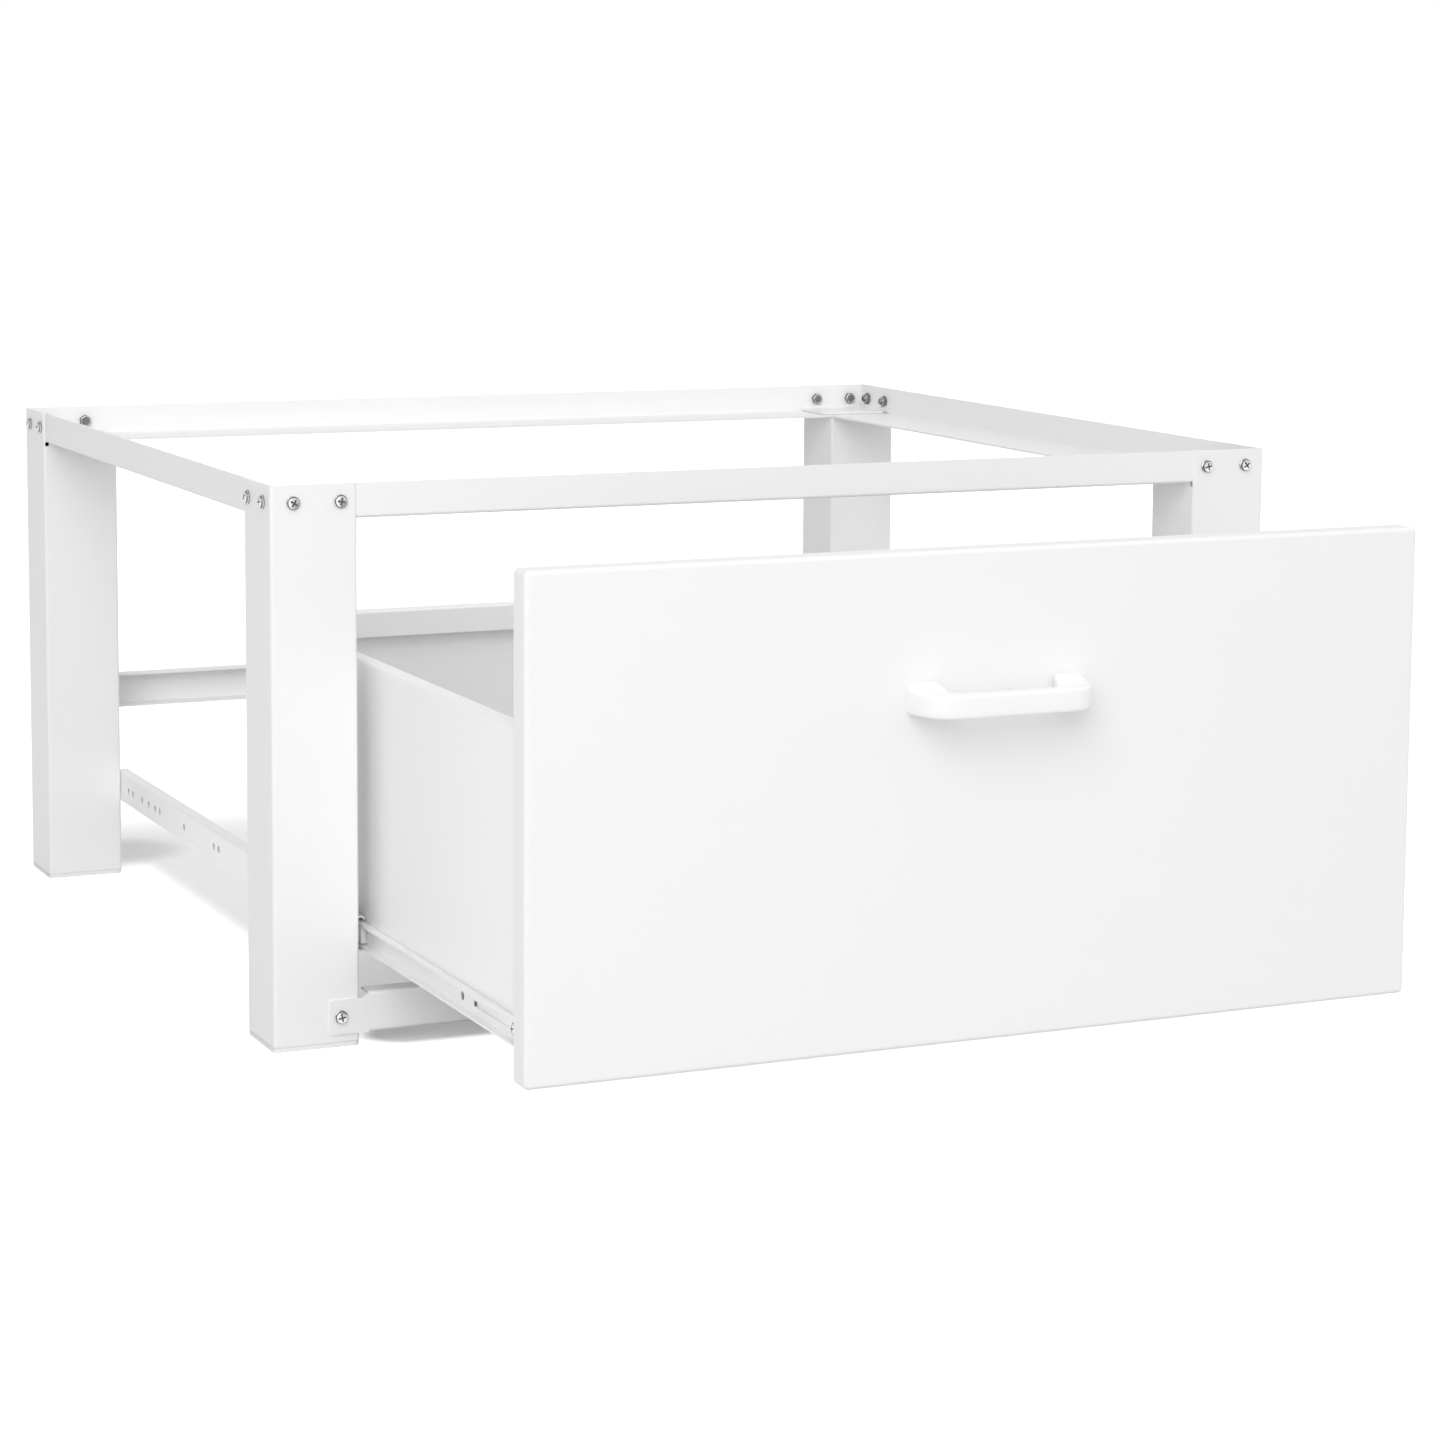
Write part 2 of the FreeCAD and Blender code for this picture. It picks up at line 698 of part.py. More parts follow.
def drawer_back():
    """Back wall: the same rim turned forwards, a foot, and a flange along each side wall."""
    face = drawer_rear
    top = drawer_top_height
    narrow = drawer_half - rim_width - rim_end_gap
    wide = drawer_half - drawer_sheet
    split = top - rim_drop - flange_gap
    path = [(face - rim_width, top - rim_drop), (face - rim_width, top), (face, top), (face, split)]
    rim = folded(path[::-1], drawer_sheet, drawer_bend, lambda u, v: V(-narrow, at(u), v),
                 V(2 * narrow, 0, 0))
    web_bottom = floor_bottom + drawer_bend + floor_gap
    web = box(-wide, wide, at(face - drawer_sheet), at(face), web_bottom, split)
    low = box(-wide + foot_flange + flange_gap, wide - foot_flange - flange_gap,
              at(face - drawer_sheet), at(face), drawer_bottom_height, web_bottom)
    foot = box(-wide + foot_flange + flange_gap, wide - foot_flange - flange_gap,
               at(face - foot_flange), at(face), drawer_bottom_height, floor_bottom)
    back = rim.fuse(web).fuse(low).fuse(foot)
    for side in (-1, 1):
        flange = box(min(side * wide, side * (wide - drawer_sheet)),
                     max(side * wide, side * (wide - drawer_sheet)),
                     at(face - drawer_sheet - back_flange), at(face),
                     floor_bottom + drawer_sheet + rib_height + floor_gap, split)
        back = back.fuse(flange)
    back = back.removeSplitter()
    for height in rivet_heights():
        back = hole(back, V(-drawer_half, at(rivet_depth()), height), V(1, 0, 0),
                    rivet_radius + nut_bore_gap, 2 * drawer_half)
    return back


def drawer_bottom():
    """Bottom sheet on the walls' feet, stiffened by long ribs."""
    edge = drawer_half - drawer_sheet - drawer_bend
    pitch = 2 * edge / (rib_count + 1)
    path = [(edge, floor_bottom)]
    for k in range(rib_count, 0, -1):
        middle = -edge + k * pitch
        half_base = rib_width / 2 + rib_slope
        path += [(middle + half_base, floor_bottom), (middle + rib_width / 2, floor_bottom + rib_height),
                 (middle - rib_width / 2, floor_bottom + rib_height), (middle - half_base, floor_bottom)]
    path.append((-edge, floor_bottom))
    front = at(drawer_front + floor_gap)
    rear = at(drawer_rear - drawer_sheet - floor_gap)
    return folded(path[::-1], drawer_sheet, drawer_bend, lambda u, v: V(u, front, v),
                  V(0, rear - front, 0))


def drawer_rivets():
    """Blind rivets that join the side walls and the back's flanges."""
    rivets = []
    for height in rivet_heights():
        seat = V(-drawer_half, at(rivet_depth()), height)
        head = rod(rivet_head_radius, rivet_head_height, seat - V(rivet_head_height, 0, 0), V(1, 0, 0))
        rim = [e for e in head.Edges if e.Length > 1 and near(e.CenterOfMass.x, seat.x - rivet_head_height)]
        head = head.makeFillet(rivet_head_height * 0.6, rim)
        shank = rod(rivet_radius, 2 * drawer_sheet + rivet_tail, seat, V(1, 0, 0))
        tail = rod(rivet_radius * 1.4, rivet_tail, seat + V(2 * drawer_sheet, 0, 0), V(1, 0, 0))
        rivet = head.fuse(shank).fuse(tail).removeSplitter()
        rivets += [rivet, mirror_x(rivet)]
    return Part.makeCompound(rivets)


def front_panel():
    """Drawer front: plain board with softened edges, closing flush between the legs."""
    y0, y1 = at(-rest_opening), at(drawer_front)
    board = box(-panel_half, panel_half, y0, y1, panel_bottom, panel_top)
    board = board.makeFillet(panel_corner, edges_where(board, lambda a, b: not near(a.y, b.y)))
    front_rim = [e for e in board.Edges if near(e.BoundBox.YMax, y0)]
    board = board.makeFillet(panel_front_edge, front_rim)
    back_rim = [e for e in board.Edges if near(e.BoundBox.YMin, y1)]
    board = board.makeFillet(panel_back_edge, back_rim)
    for side in (-1, 1):
        for height in panel_screw_heights():
            seat = V(side * panel_screw_x(), y1, height)
            board = board.cut(rod(screw_radius + nut_bore_gap, panel_screw_length, seat, V(0, -1, 0)))
        seat = V(side * handle_screw_spacing / 2, y0, handle_centre_height)
        board = hole(board, seat, V(0, 1, 0), screw_hole, panel_thickness)
    return board


def panel_screws():
    screws = []
    for height in panel_screw_heights():
        seat = V(-panel_screw_x(), at(drawer_front + drawer_sheet), height)
        screw = pan_screw(seat, V(0, -1, 0), panel_screw_length, head_height=panel_screw_head_height)
        screws += [screw, mirror_x(screw)]
    return Part.makeCompound(screws)


# ---------------------------------------------------------------- handle
def is_handle_rim(edge, *rim_depths):
    """True for the edges around the bow's top and bottom, which are rounded."""
    ends = [vertex.Point for vertex in edge.Vertexes]
    if len(ends) < 2:
        return False
    upright = near(ends[0].x, ends[1].x) and near(ends[0].y, ends[1].y)
    if upright:
        return False
    level = near(ends[0].y, ends[1].y)
    if not level:
        return True
    return any(near(ends[0].y, depth) for depth in rim_depths[1:])


def handle():
    """Bow handle: two feet on the panel, joined by a bar that leaves room for fingers."""
    y0 = at(-rest_opening)
    half = handle_length / 2
    inside = half - handle_foot
    depth = handle_projection
    arch = depth - handle_bar
    outline = [(-half, 0), (-half + handle_lean, -depth), (half - handle_lean, -depth), (half, 0),
               (inside, 0), (inside - handle_lean / 2, -arch),
               (-inside + handle_lean / 2, -arch), (-inside, 0)]
    radii = [0, handle_outer_bend, handle_outer_bend, 0, 0, handle_inner_bend, handle_inner_bend, 0]
    low = handle_centre_height - handle_height / 2
    high = low + handle_height
    bow = prism(outline, radii, lambda u, v: V(u, y0 + v, low), V(0, 0, handle_height + handle_flare))
    profile = [(0, low), (-depth, low), (-depth, high), (-handle_flare_reach, high), (0, high + handle_flare)]
    bow = bow.common(prism(profile, [0, 0, 0, handle_flare_bend, 0],
                           lambda u, v: V(-half, y0 + u, v), V(handle_length, 0, 0)))
    bow = bow.makeFillet(handle_edge, [e for e in bow.Edges if is_handle_rim(e, y0, y0 - depth, y0 - arch)])
    for side in (-1, 1):
        seat = V(side * handle_screw_spacing / 2, y0, handle_centre_height)
        bow = bow.cut(rod(screw_radius + nut_bore_gap, handle_screw_bite + cut_margin, seat, V(0, -1, 0)))
    return bow


def handle_screws():
    seat = V(-handle_screw_spacing / 2, at(drawer_front), handle_centre_height)
    screw = pan_screw(seat, V(0, -1, 0), panel_thickness + handle_screw_bite,
                      head_height=handle_screw_head_height)
    return Part.makeCompound([screw, mirror_x(screw)])


# ---------------------------------------------------------------- assembly
def pieces():
    made = {}
    slide_depths = slide_screw_depths()
    for name, shape in corners(leg(front_bar_screw_height, slide_depths)).items():
        if name.startswith("front"):
            made["leg_" + name] = shape
    slide_depths = [frame_depth - deep for deep in slide_depths]
    for name, shape in corners(leg(rear_bar_screw_height, slide_depths)).items():
        if name.startswith("rear"):
            made["leg_" + name] = shape
    for stem, shape in (("foot_cap_", foot_cap()), ("gusset_", gusset()),
                        ("leg_screws_", leg_screws()), ("leg_nuts_", leg_nuts())):
        for name, copy in corners(shape).items():
            made[stem + name] = copy
    made["rail_front"] = cross_rail()
    made["rail_rear"] = mirror_depth(cross_rail())
    made["rail_left"] = side_rail()
    made["rail_right"] = mirror_x(side_rail())
    made["bar_front"] = bar(front_bar_bottom)
    made["bar_front_screws"] = bar_screws(front_bar_bottom)
    made["bar_front_nuts"] = bar_nuts(front_bar_bottom)
    made["bar_rear"] = mirror_depth(bar(rear_bar_bottom))
    made["bar_rear_screws"] = mirror_depth(bar_screws(rear_bar_bottom))
    made["bar_rear_nuts"] = mirror_depth(bar_nuts(rear_bar_bottom))
    handed = {
        "slide_outer": slide_outer(),
        "slide_outer_screws": slide_outer_screws(),
        "slide_inner": slide_inner(),
        "slide_inner_screws": slide_inner_screws(),
        "ball_cage": ball_cage(),
        "cage_balls": cage_balls(),
        "drawer_side": drawer_side(),
    }
    for stem, shape in handed.items():
        made[stem + "_left"] = shape
        made[stem + "_right"] = mirror_x(shape)
    made["drawer_back"] = drawer_back()
    made["drawer_bottom"] = drawer_bottom()
    made["drawer_rivets"] = drawer_rivets()
    made["front_panel"] = front_panel()
    made["panel_screws"] = panel_screws()
    made["handle"] = handle()
    made["handle_screws"] = handle_screws()
    return made


os.makedirs("parts", exist_ok=True)
for node, shape in pieces().items():
    shape.exportStep("parts/" + node + ".step")
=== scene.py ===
"""Washer pedestal with a drawer: finishes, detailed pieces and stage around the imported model."""

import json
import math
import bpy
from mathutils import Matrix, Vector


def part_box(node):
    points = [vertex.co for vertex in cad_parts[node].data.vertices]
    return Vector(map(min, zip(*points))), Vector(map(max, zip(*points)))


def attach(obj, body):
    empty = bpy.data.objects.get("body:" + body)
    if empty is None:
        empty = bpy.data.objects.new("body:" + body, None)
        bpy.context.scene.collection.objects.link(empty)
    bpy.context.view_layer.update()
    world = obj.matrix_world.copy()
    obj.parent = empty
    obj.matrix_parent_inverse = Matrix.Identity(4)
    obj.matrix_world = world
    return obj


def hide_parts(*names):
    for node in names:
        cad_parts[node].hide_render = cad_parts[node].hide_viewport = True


bl_info = {
    "name": "Washer pedestal drawer",
    "version": (1, 0, 0),
    "blender": (4, 5, 0),
    "location": "3D View > Sidebar > Pedestal",
    "description": "Dresses a washing machine pedestal with a drawer",
    "category": "Object",
}

import bmesh
import bpy
from bpy.props import FloatProperty, FloatVectorProperty, PointerProperty
from mathutils import Euler, Matrix, Vector

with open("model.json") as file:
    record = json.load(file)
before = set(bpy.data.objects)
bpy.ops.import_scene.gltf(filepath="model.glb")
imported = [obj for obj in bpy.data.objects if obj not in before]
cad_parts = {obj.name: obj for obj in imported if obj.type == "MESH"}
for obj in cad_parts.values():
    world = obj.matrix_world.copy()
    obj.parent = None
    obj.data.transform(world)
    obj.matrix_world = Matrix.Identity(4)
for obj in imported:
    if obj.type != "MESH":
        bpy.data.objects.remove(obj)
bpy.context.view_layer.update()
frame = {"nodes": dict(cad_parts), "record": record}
nodes = frame["nodes"]


# ---------------------------------------------------------------- settings
class PedestalColours(bpy.types.PropertyGroup):
    """Colours of the finishes."""

    coat: FloatVectorProperty(name="Powder coat", description="White of the frame's powder coat",
                              subtype="COLOR", size=3, min=0, max=1, default=(0.91, 0.912, 0.915))
    drawer: FloatVectorProperty(name="Drawer coat", description="White of the drawer's sheet metal",
                                subtype="COLOR", size=3, min=0, max=1, default=(0.965, 0.966, 0.967))
    panel: FloatVectorProperty(name="Front panel", description="White of the front panel's foil",
                               subtype="COLOR", size=3, min=0, max=1, default=(0.895, 0.896, 0.897))
    # painted light: a lighter white for the front panel's side faces
    band: FloatVectorProperty(name="Edge band", description="White of the front panel's upright edges",
                              subtype="COLOR", size=3, min=0, max=1, default=(0.96, 0.961, 0.962))
    handle: FloatVectorProperty(name="Handle", description="White of the moulded handle",
                                subtype="COLOR", size=3, min=0, max=1, default=(0.75, 0.75, 0.75))
    foot: FloatVectorProperty(name="Feet", description="White of the plastic foot caps",
                              subtype="COLOR", size=3, min=0, max=1, default=(0.86, 0.86, 0.86))
    slide: FloatVectorProperty(name="Slides", description="White of the coated slide members",
                               subtype="COLOR", size=3, min=0, max=1, default=(0.86, 0.862, 0.865))
    zinc: FloatVectorProperty(name="Zinc", description="Bright zinc of the screws and nuts",
                              subtype="COLOR", size=3, min=0, max=1, default=(0.66, 0.67, 0.68))


class PedestalSizes(bpy.types.PropertyGroup):
    """Sizes of the view and the light."""

    lens: FloatProperty(name="Lens", description="Focal length on a 36 mm frame",
                        subtype="DISTANCE_CAMERA", default=91.62)
    yaw: FloatProperty(name="Yaw",
                       description="How far the camera looks to the right of straight ahead",
                       subtype="ANGLE", default=math.radians(24.474))
    pitch: FloatProperty(name="Pitch", description="How far the camera looks down",
                         subtype="ANGLE", default=math.radians(6.878))
    roll: FloatProperty(name="Roll", description="Tilt of the camera about its own axis",
                        subtype="ANGLE", default=math.radians(0.396))
    rise: FloatProperty(name="Lens shift",
                        description="Vertical shift of the lens, as a share of the frame",
                        default=-175 / 1440)
    camera: FloatVectorProperty(name="Camera", description="Where the camera stands",
                                subtype="TRANSLATION", unit="LENGTH", size=3,
                                default=(-0.9072, -2.0271, 0.5196))
    sky: FloatProperty(name="Sky light", description="Strength of the even light from all around",
                       min=0, default=0.567)
    key: FloatProperty(name="Key light",
                       description="Power of the large lamp in front, high on the left",
                       subtype="POWER", unit="POWER", min=0, default=72.5)
    fill: FloatProperty(name="Fill light",
                        description="Power of the low lamp in front, on the left",
                        subtype="POWER", unit="POWER", min=0, default=13.0)
    floor: FloatProperty(name="Floor", description="Half the width of the floor",
                         unit="LENGTH", default=6.0)


# ---------------------------------------------------------------- shader nodes
def add_node(tree, kind, inputs=(), **settings):
    """Add a node with its settings. What is given for an input is a socket to link from or a value."""
    node = tree.nodes.new("ShaderNode" + kind)
    for label, value in settings.items():
        setattr(node, label, value)
    for label, value in dict(inputs).items():
        if isinstance(value, bpy.types.NodeSocket):
            tree.links.new(value, node.inputs[label])
        else:
            node.inputs[label].default_value = value
    return node


def maths(tree, operation, *values):
    """Result of one calculation with sockets and numbers."""
    return add_node(tree, "Math", enumerate(values), operation=operation).outputs[0]


# ---------------------------------------------------------------- finishes
GRAIN_DETAIL = 3.0
CLOUD_SCALE, CLOUD_DETAIL = 9.0, 2.0


def texture_group():
    """Fine grain, slow unevenness and a bump height that all the finishes share."""
    group = bpy.data.node_groups.new("surface_grain", "ShaderNodeTree")
    sockets = (("INPUT", "Colour", "Color"), ("INPUT", "Roughness", "Float"),
               ("INPUT", "Grain scale", "Float"), ("INPUT", "Unevenness", "Float"),
               ("INPUT", "Sheen change", "Float"), ("OUTPUT", "Colour", "Color"),
               ("OUTPUT", "Roughness", "Float"), ("OUTPUT", "Height", "Float"))
    for way, label, kind in sockets:
        group.interface.new_socket(name=label, in_out=way, socket_type="NodeSocket" + kind)
    given = group.nodes.new("NodeGroupInput")
    result = group.nodes.new("NodeGroupOutput")
    place = add_node(group, "TexCoord").outputs["Object"]
    grain = add_node(group, "TexNoise", {"Vector": place, "Scale": given.outputs["Grain scale"],
                                         "Detail": GRAIN_DETAIL})
    cloud = add_node(group, "TexNoise", {"Vector": place, "Scale": CLOUD_SCALE,
                                         "Detail": CLOUD_DETAIL})
    centred = maths(group, "SUBTRACT", cloud.outputs["Fac"], 0.5)
    tone = maths(group, "MULTIPLY_ADD", centred, given.outputs["Unevenness"], 1.0)
    tint = add_node(group, "VectorMath", {0: given.outputs["Colour"], "Scale": tone},
                    operation="SCALE")
    sheen = maths(group, "MULTIPLY_ADD", centred, given.outputs["Sheen change"],
                  given.outputs["Roughness"])
    group.links.new(tint.outputs[0], result.inputs["Colour"])
    group.links.new(sheen, result.inputs["Roughness"])
    group.links.new(grain.outputs["Fac"], result.inputs["Height"])
    return group


def finish(group, name, colour, roughness, grain, bump, unevenness=0.02, sheen=0.08, metallic=0.0):
    """One material: the shared grain group feeding a Principled shader through a bump."""
    material = bpy.data.materials.new(name)
    material.use_nodes = True
    tree = material.node_tree
    shader = tree.nodes["Principled BSDF"]
    shader.inputs["Metallic"].default_value = metallic
    surface = tree.nodes.new("ShaderNodeGroup")
    surface.node_tree = group
    for label, value in (("Colour", (*colour, 1.0)), ("Roughness", roughness), ("Grain scale", grain),
                         ("Unevenness", unevenness), ("Sheen change", sheen)):
        surface.inputs[label].default_value = value
    relief = add_node(tree, "Bump", {"Strength": 1.0, "Distance": bump,
                                     "Height": surface.outputs["Height"]})
    tree.links.new(surface.outputs["Colour"], shader.inputs["Base Color"])
    tree.links.new(surface.outputs["Roughness"], shader.inputs["Roughness"])
    tree.links.new(relief.outputs["Normal"], shader.inputs["Normal"])
    return material


# how squarely a face looks to the side where the painted side light begins, and where it covers the
# face
SIDE_LIGHT_BEGINS, SIDE_LIGHT_COVERS = 0.6, 0.9


def paint_side_light(material, band):
    """Paint light on the upright edges of a board, which look to the sides, as a lighter white of their
    own.
    """
    tree = material.node_tree
    colour = tree.nodes["Principled BSDF"].inputs["Base Color"]
    facing = add_node(tree, "SeparateXYZ", {0: add_node(tree, "TexCoord").outputs["Normal"]})
    share = add_node(tree, "MapRange", {"Value": maths(tree, "ABSOLUTE", facing.outputs["X"]),
                                        "From Min": SIDE_LIGHT_BEGINS, "From Max": SIDE_LIGHT_COVERS})
    mix = add_node(tree, "Mix", {"B": band, "Factor": share.outputs["Result"],
                                 "A": colour.links[0].from_socket}, data_type="RGBA")
    tree.links.new(mix.outputs["Result"], colour)


METAL = {"sheen": 0.2, "metallic": 1.0}

# colour (a setting's name or a colour), roughness, grain scale, bump height in metres, other values
FINISHES = {
    "powder_coat": ("coat", 0.42, 900.0, 0.00002, {}),
    "drawer_coat": ("drawer", 0.45, 900.0, 0.00002, {}),
    "slide_coat": ("slide", 0.34, 500.0, 0.00001, {}),
    "panel_foil": ("panel", 0.38, 1600.0, 0.00001, {"unevenness": 0.01}),
    "handle_plastic": ("handle", 0.28, 1200.0, 0.000006, {"unevenness": 0.01}),
    "foot_plastic": ("foot", 0.5, 1500.0, 0.00002, {}),
    "bright_zinc": ("zinc", 0.30, 2500.0, 0.00001, METAL),
    # painted shade and dark reflection: darker zinc for the walls, grooves and thread of screws and
    # nuts
    "dull_zinc": ((0.24, 0.24, 0.25), 0.42, 2500.0, 0.00001, METAL),
    "rolled_steel": ((0.62, 0.63, 0.65), 0.35, 2000.0, 0.00001, METAL),
    "polished_balls": ((0.78, 0.79, 0.8), 0.12, 2000.0, 0.000002, {"sheen": 0.04, "metallic": 1.0}),
    "recess_shade": ((0.26, 0.26, 0.265), 0.5, 2500.0, 0.00001, {}),
    # painted shade: near-black for the strip and blocks that darken the slides' holes
    "running_strip": ((0.10, 0.10, 0.105), 0.45, 1200.0, 0.00001, {"sheen": 0.2}),
}

FINISH_OF_SLOT = {
    "frame_coat": "powder_coat",
    "drawer_coat": "drawer_coat",
    "slide_coat": "slide_coat",
    "panel_board": "panel_foil",
    "handle_plastic": "handle_plastic",
    "foot_plastic": "foot_plastic",
    "zinc": "bright_zinc",
    "cage_steel": "rolled_steel",
    "ball_steel": "polished_balls",
}


class PEDESTAL_OT_finishes(bpy.types.Operator):
    """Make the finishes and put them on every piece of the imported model"""

    bl_idname = "pedestal.finishes"
    bl_label = "Finishes"

    def execute(self, context):
        colours = context.scene.pedestal_colours
        group = texture_group()
        for name, (colour, roughness, grain, bump, others) in FINISHES.items():
            if isinstance(colour, str):
                colour = getattr(colours, colour)
            finish(group, name, colour, roughness, grain, bump, **others)
        # painted light on the front panel's side faces
        paint_side_light(bpy.data.materials["panel_foil"], (*colours.band, 1.0))
        slots = {part["node"]: part["material_slot"] for part in frame["record"]["subparts"]}
        for name, piece in nodes.items():
            coat(piece, FINISH_OF_SLOT[slots[name]])
        return {"FINISHED"}


def coat(piece, finish_name):
    """Give a piece its one finish."""
    material = bpy.data.materials[finish_name]
    if piece.material_slots:
        for slot in piece.material_slots:
            slot.material = material
    else:
        piece.data.materials.append(material)


# ---------------------------------------------------------------- modelling by hand, in code
def begin(kind, name, **how):
    """Add a primitive with nothing else selected, and go into edit mode on it."""
    bpy.ops.object.select_all(action="DESELECT")
    getattr(bpy.ops.mesh, "primitive_" + kind + "_add")(**how)
    piece = bpy.context.object
    piece.name = piece.data.name = name
    bpy.ops.object.mode_set(mode="EDIT")
    return piece


def pick(piece, kind, test):
    """In edit mode, leave selected only the faces, edges or vertices that pass the test."""
    bpy.ops.mesh.select_mode(type=kind)
    bpy.ops.mesh.select_all(action="DESELECT")
    mesh = bmesh.from_edit_mesh(piece.data)
    for part in {"FACE": mesh.faces, "EDGE": mesh.edges, "VERT": mesh.verts}[kind]:
        if test(part):
            part.select_set(True)
    mesh.select_flush_mode()
    bmesh.update_edit_mesh(piece.data)


def runs_across(edge):
    """Whether an edge runs along X."""
    return abs((edge.verts[0].co - edge.verts[1].co).normalized().x) > 0.9


def extrude(move=(0, 0, 0)):
    """Draw the selected face out."""
    bpy.ops.mesh.extrude_region_move(TRANSFORM_OT_translate={"value": move})


def grow(shares, about):
    """Scale the selection about a point, by a share for each axis."""
    bpy.ops.transform.resize(value=shares, center_override=about)


def leave_edit():
    """Leave edit mode, with the piece at the origin, unturned and unscaled."""
    bpy.ops.object.mode_set(mode="OBJECT")
    bpy.ops.object.transform_apply(location=True, rotation=True, scale=True)


def rounding(width, segments, sharp):
    """Bevel of the edges that are sharper than an angle in degrees."""
    return "BEVEL", {"width": width, "segments": segments, "limit_method": "ANGLE",
                     "angle_limit": math.radians(sharp)}


def finish_form(piece, *modifiers, smooth=40.0):
    """Leave edit mode, apply the modifiers in order and shade smooth up to an angle in degrees."""
    leave_edit()
    for kind, values in modifiers:
        modifier = piece.modifiers.new(kind.lower(), kind)
        for label, value in values.items():
            setattr(modifier, label, value)
        bpy.ops.object.modifier_apply(modifier=modifier.name)
    bpy.ops.object.shade_smooth_by_angle(angle=math.radians(smooth))
    return piece


def select_only(*pieces):
    """Select these pieces alone, with the first one active."""
    bpy.ops.object.select_all(action="DESELECT")
    for piece in pieces:
        piece.select_set(True)
    bpy.context.view_layer.objects.active = pieces[0]


def combine(piece, other, operation, materials):
    """Join another form to a piece, or cut it out, and throw the other one away."""
    modifier = piece.modifiers.new("combine", "BOOLEAN")
    modifier.operation = operation
    modifier.object = other
    modifier.solver = "EXACT"
    modifier.material_mode = materials
    select_only(piece)
    bpy.ops.object.modifier_apply(modifier=modifier.name)
    throw_away(other)


def dress(piece, finish_name, body, slot, *replaced):
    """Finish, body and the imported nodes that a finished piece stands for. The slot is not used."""
    if finish_name:
        piece.data.materials.clear()
        piece.data.materials.append(bpy.data.materials[finish_name])
    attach(piece, body)
    if replaced:
        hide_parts(*replaced)


def copy_placed(form, name, place):
    """A copy of a form, with its own mesh moved to its place."""
    mesh = form.data.copy()
    mesh.transform(place)
    piece = bpy.data.objects.new(name, mesh)
    bpy.context.scene.collection.objects.link(piece)
    return piece


def standing(seat, direction, spin):
    """Place of a form that stands on a seat, its +Z turned to a direction and spun about it."""
    turn = direction.to_track_quat("Z", "Y").to_matrix().to_4x4()
    return Matrix.Translation(seat) @ turn @ Matrix.Rotation(spin, 4, "Z")


def joined(pieces, name):
    """The pieces as one."""
    select_only(*pieces)
    bpy.ops.object.join()
    pieces[0].name = pieces[0].data.name = name
    return pieces[0]


def throw_away(piece):
    """Remove a piece and its mesh."""
    mesh = piece.data
    bpy.data.objects.remove(piece)
    bpy.data.meshes.remove(mesh)


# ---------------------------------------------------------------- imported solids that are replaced
def body_of(node):
    """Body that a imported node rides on."""
    for body, parts in frame["record"]["behaviour"]["bodies"].items():
        if node in parts:
            return body


def separate_solids(node):
    """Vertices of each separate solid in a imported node, the solids always in the same order."""
    mesh = bmesh.new()
    mesh.from_mesh(nodes[node].data)
    bmesh.ops.remove_doubles(mesh, verts=mesh.verts, dist=1e-6)
    seen, solids = set(), []
    for start in mesh.verts:
        if start in seen:
            continue
        seen.add(start)
        points, edge = [], [start]
        while edge:
            vertex = edge.pop()
            points.append(vertex.co.copy())
            for line in vertex.link_edges:
                other = line.other_vert(vertex)
                if other not in seen:
                    seen.add(other)
                    edge.append(other)
        solids.append(points)
    mesh.free()
    return sorted(solids, key=lambda points: [round(min(p[i] for p in points), 5) for i in range(3)])


def extent(points):
    """Lowest and highest corner of the box round some points."""
    return [Vector(end(p[i] for p in points) for i in range(3)) for end in (min, max)]


def along_axis(axis, sign):
    """Unit vector along an axis."""
    direction = Vector((0, 0, 0))
    direction[axis] = sign
    return direction


def put_in_place(part, place_copy):
    """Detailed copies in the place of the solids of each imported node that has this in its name."""
    for node in sorted(nodes):
        if part in node:
            copies = [place_copy(points, count) for count, points in enumerate(separate_solids(node))]
            dress(joined(copies, node + "_detailed"), None, body_of(node), "zinc", node)


